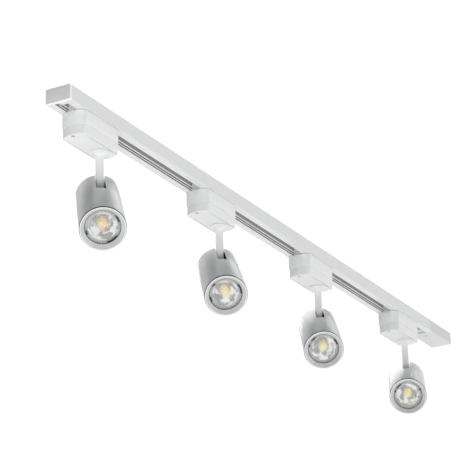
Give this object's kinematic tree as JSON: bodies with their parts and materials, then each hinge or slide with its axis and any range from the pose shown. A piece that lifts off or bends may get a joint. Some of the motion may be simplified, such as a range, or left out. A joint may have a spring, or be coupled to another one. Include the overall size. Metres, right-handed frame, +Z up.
{
  "type": "track lighting fixture",
  "caption": "White surface track with spot heads; each adapter slides along the track, its arm swivels and its round head tilts to aim the light.",
  "frame": {"origin": "middle of the track's top face, which lies against the ceiling, centred between the two end seams", "axes": "+X along the track towards the live end, +Z up into the ceiling, -Y towards the front"},
  "size_m": [1.0806, 0.0909, 0.1838],
  "materials": {
    "white_powder_coat": "satin white powder coat on aluminium",
    "white_plastic": "satin moulded plastic",
    "grey_insulator": "matt extruded plastic",
    "black_plastic": "matt moulded plastic",
    "copper": "drawn copper, tinned",
    "zinc_plated_steel": "zinc plated",
    "circuit_board": "solder-masked fibreglass",
    "clear_lens": "clear polished acrylic",
    "led_module": "phosphor on a metal-core board"
  },
  "bodies": {
    "track": {"rail_body": "white_powder_coat", "rail_insulator": "grey_insulator", "conductor_front": "copper", "conductor_rear": "copper", "end_cap": "white_plastic", "live_end_housing": "white_plastic", "live_end_screw": "zinc_plated_steel", "terminal_block": "black_plastic"},
    "adapter_1": {"spot1_adapter_housing": "white_plastic", "spot1_adapter_cover": "white_plastic", "spot1_cover_screw": "zinc_plated_steel", "spot1_driver_board": "circuit_board"},
    "lock_1": {"spot1_lock_turret": "black_plastic", "spot1_contact_front": "copper", "spot1_contact_rear": "copper"},
    "arm_1": {"spot1_swivel_arm": "white_powder_coat"},
    "head_1": {"spot1_tilt_pin": "zinc_plated_steel", "spot1_head_shell": "white_powder_coat", "spot1_front_bezel": "white_powder_coat", "spot1_lens": "clear_lens", "spot1_led_module": "led_module"},
    "adapter_2": {"spot2_adapter_housing": "white_plastic", "spot2_adapter_cover": "white_plastic", "spot2_cover_screw": "zinc_plated_steel", "spot2_driver_board": "circuit_board"},
    "lock_2": {"spot2_lock_turret": "black_plastic", "spot2_contact_front": "copper", "spot2_contact_rear": "copper"},
    "arm_2": {"spot2_swivel_arm": "white_powder_coat"},
    "head_2": {"spot2_tilt_pin": "zinc_plated_steel", "spot2_head_shell": "white_powder_coat", "spot2_front_bezel": "white_powder_coat", "spot2_lens": "clear_lens", "spot2_led_module": "led_module"},
    "adapter_3": {"spot3_adapter_housing": "white_plastic", "spot3_adapter_cover": "white_plastic", "spot3_cover_screw": "zinc_plated_steel", "spot3_driver_board": "circuit_board"},
    "lock_3": {"spot3_lock_turret": "black_plastic", "spot3_contact_front": "copper", "spot3_contact_rear": "copper"},
    "arm_3": {"spot3_swivel_arm": "white_powder_coat"},
    "head_3": {"spot3_tilt_pin": "zinc_plated_steel", "spot3_head_shell": "white_powder_coat", "spot3_front_bezel": "white_powder_coat", "spot3_lens": "clear_lens", "spot3_led_module": "led_module"},
    "adapter_4": {"spot4_adapter_housing": "white_plastic", "spot4_adapter_cover": "white_plastic", "spot4_cover_screw": "zinc_plated_steel", "spot4_driver_board": "circuit_board"},
    "lock_4": {"spot4_lock_turret": "black_plastic", "spot4_contact_front": "copper", "spot4_contact_rear": "copper"},
    "arm_4": {"spot4_swivel_arm": "white_powder_coat"},
    "head_4": {"spot4_tilt_pin": "zinc_plated_steel", "spot4_head_shell": "white_powder_coat", "spot4_front_bezel": "white_powder_coat", "spot4_lens": "clear_lens", "spot4_led_module": "led_module"}
  },
  "joints": [
    {"name": "adapter_1_slide", "type": "slide", "parent": "track", "child": "adapter_1", "axis": [1, 0, 0], "range_m": [-0.015, 0.065]},
    {"name": "lock_1_turn", "type": "hinge", "parent": "adapter_1", "child": "lock_1", "pos_m": [-0.4365, 0, -0.012], "axis": [0, 0, 1], "range_deg": [0, 90]},
    {"name": "arm_1_pan", "type": "hinge", "parent": "adapter_1", "child": "arm_1", "pos_m": [-0.417, 0, -0.0503], "axis": [0, 0, 1], "range_deg": [-212.5, 137.5]},
    {"name": "head_1_tilt", "type": "hinge", "parent": "arm_1", "child": "head_1", "pos_m": [-0.417, 0, -0.117], "axis": [-0.6088, 0.7934, 0], "range_deg": [-45, 45]},
    {"name": "adapter_2_slide", "type": "slide", "parent": "track", "child": "adapter_2", "axis": [1, 0, 0], "range_m": [-0.065, 0.065]},
    {"name": "lock_2_turn", "type": "hinge", "parent": "adapter_2", "child": "lock_2", "pos_m": [-0.1545, 0, -0.012], "axis": [0, 0, 1], "range_deg": [0, 90]},
    {"name": "arm_2_pan", "type": "hinge", "parent": "adapter_2", "child": "arm_2", "pos_m": [-0.135, 0, -0.0503], "axis": [0, 0, 1], "range_deg": [-212, 138]},
    {"name": "head_2_tilt", "type": "hinge", "parent": "arm_2", "child": "head_2", "pos_m": [-0.135, 0, -0.117], "axis": [-0.6018, 0.7986, 0], "range_deg": [-48, 42]},
    {"name": "adapter_3_slide", "type": "slide", "parent": "track", "child": "adapter_3", "axis": [1, 0, 0], "range_m": [-0.065, 0.065]},
    {"name": "lock_3_turn", "type": "hinge", "parent": "adapter_3", "child": "lock_3", "pos_m": [0.124, 0, -0.012], "axis": [0, 0, 1], "range_deg": [0, 90]},
    {"name": "arm_3_pan", "type": "hinge", "parent": "adapter_3", "child": "arm_3", "pos_m": [0.1435, 0, -0.0503], "axis": [0, 0, 1], "range_deg": [-206.5, 143.5]},
    {"name": "head_3_tilt", "type": "hinge", "parent": "arm_3", "child": "head_3", "pos_m": [0.1435, 0, -0.117], "axis": [-0.5225, 0.8526, 0], "range_deg": [-51.5, 38.5]},
    {"name": "adapter_4_slide", "type": "slide", "parent": "track", "child": "adapter_4", "axis": [1, 0, 0], "range_m": [-0.065, 0.038]},
    {"name": "lock_4_turn", "type": "hinge", "parent": "adapter_4", "child": "lock_4", "pos_m": [0.4135, 0, -0.012], "axis": [0, 0, 1], "range_deg": [0, 90]},
    {"name": "arm_4_pan", "type": "hinge", "parent": "adapter_4", "child": "arm_4", "pos_m": [0.433, 0, -0.0503], "axis": [0, 0, 1], "range_deg": [-199.5, 150.5]},
    {"name": "head_4_tilt", "type": "hinge", "parent": "arm_4", "child": "head_4", "pos_m": [0.433, 0, -0.117], "axis": [-0.4147, 0.91, 0], "range_deg": [-57, 33]}
  ]
}
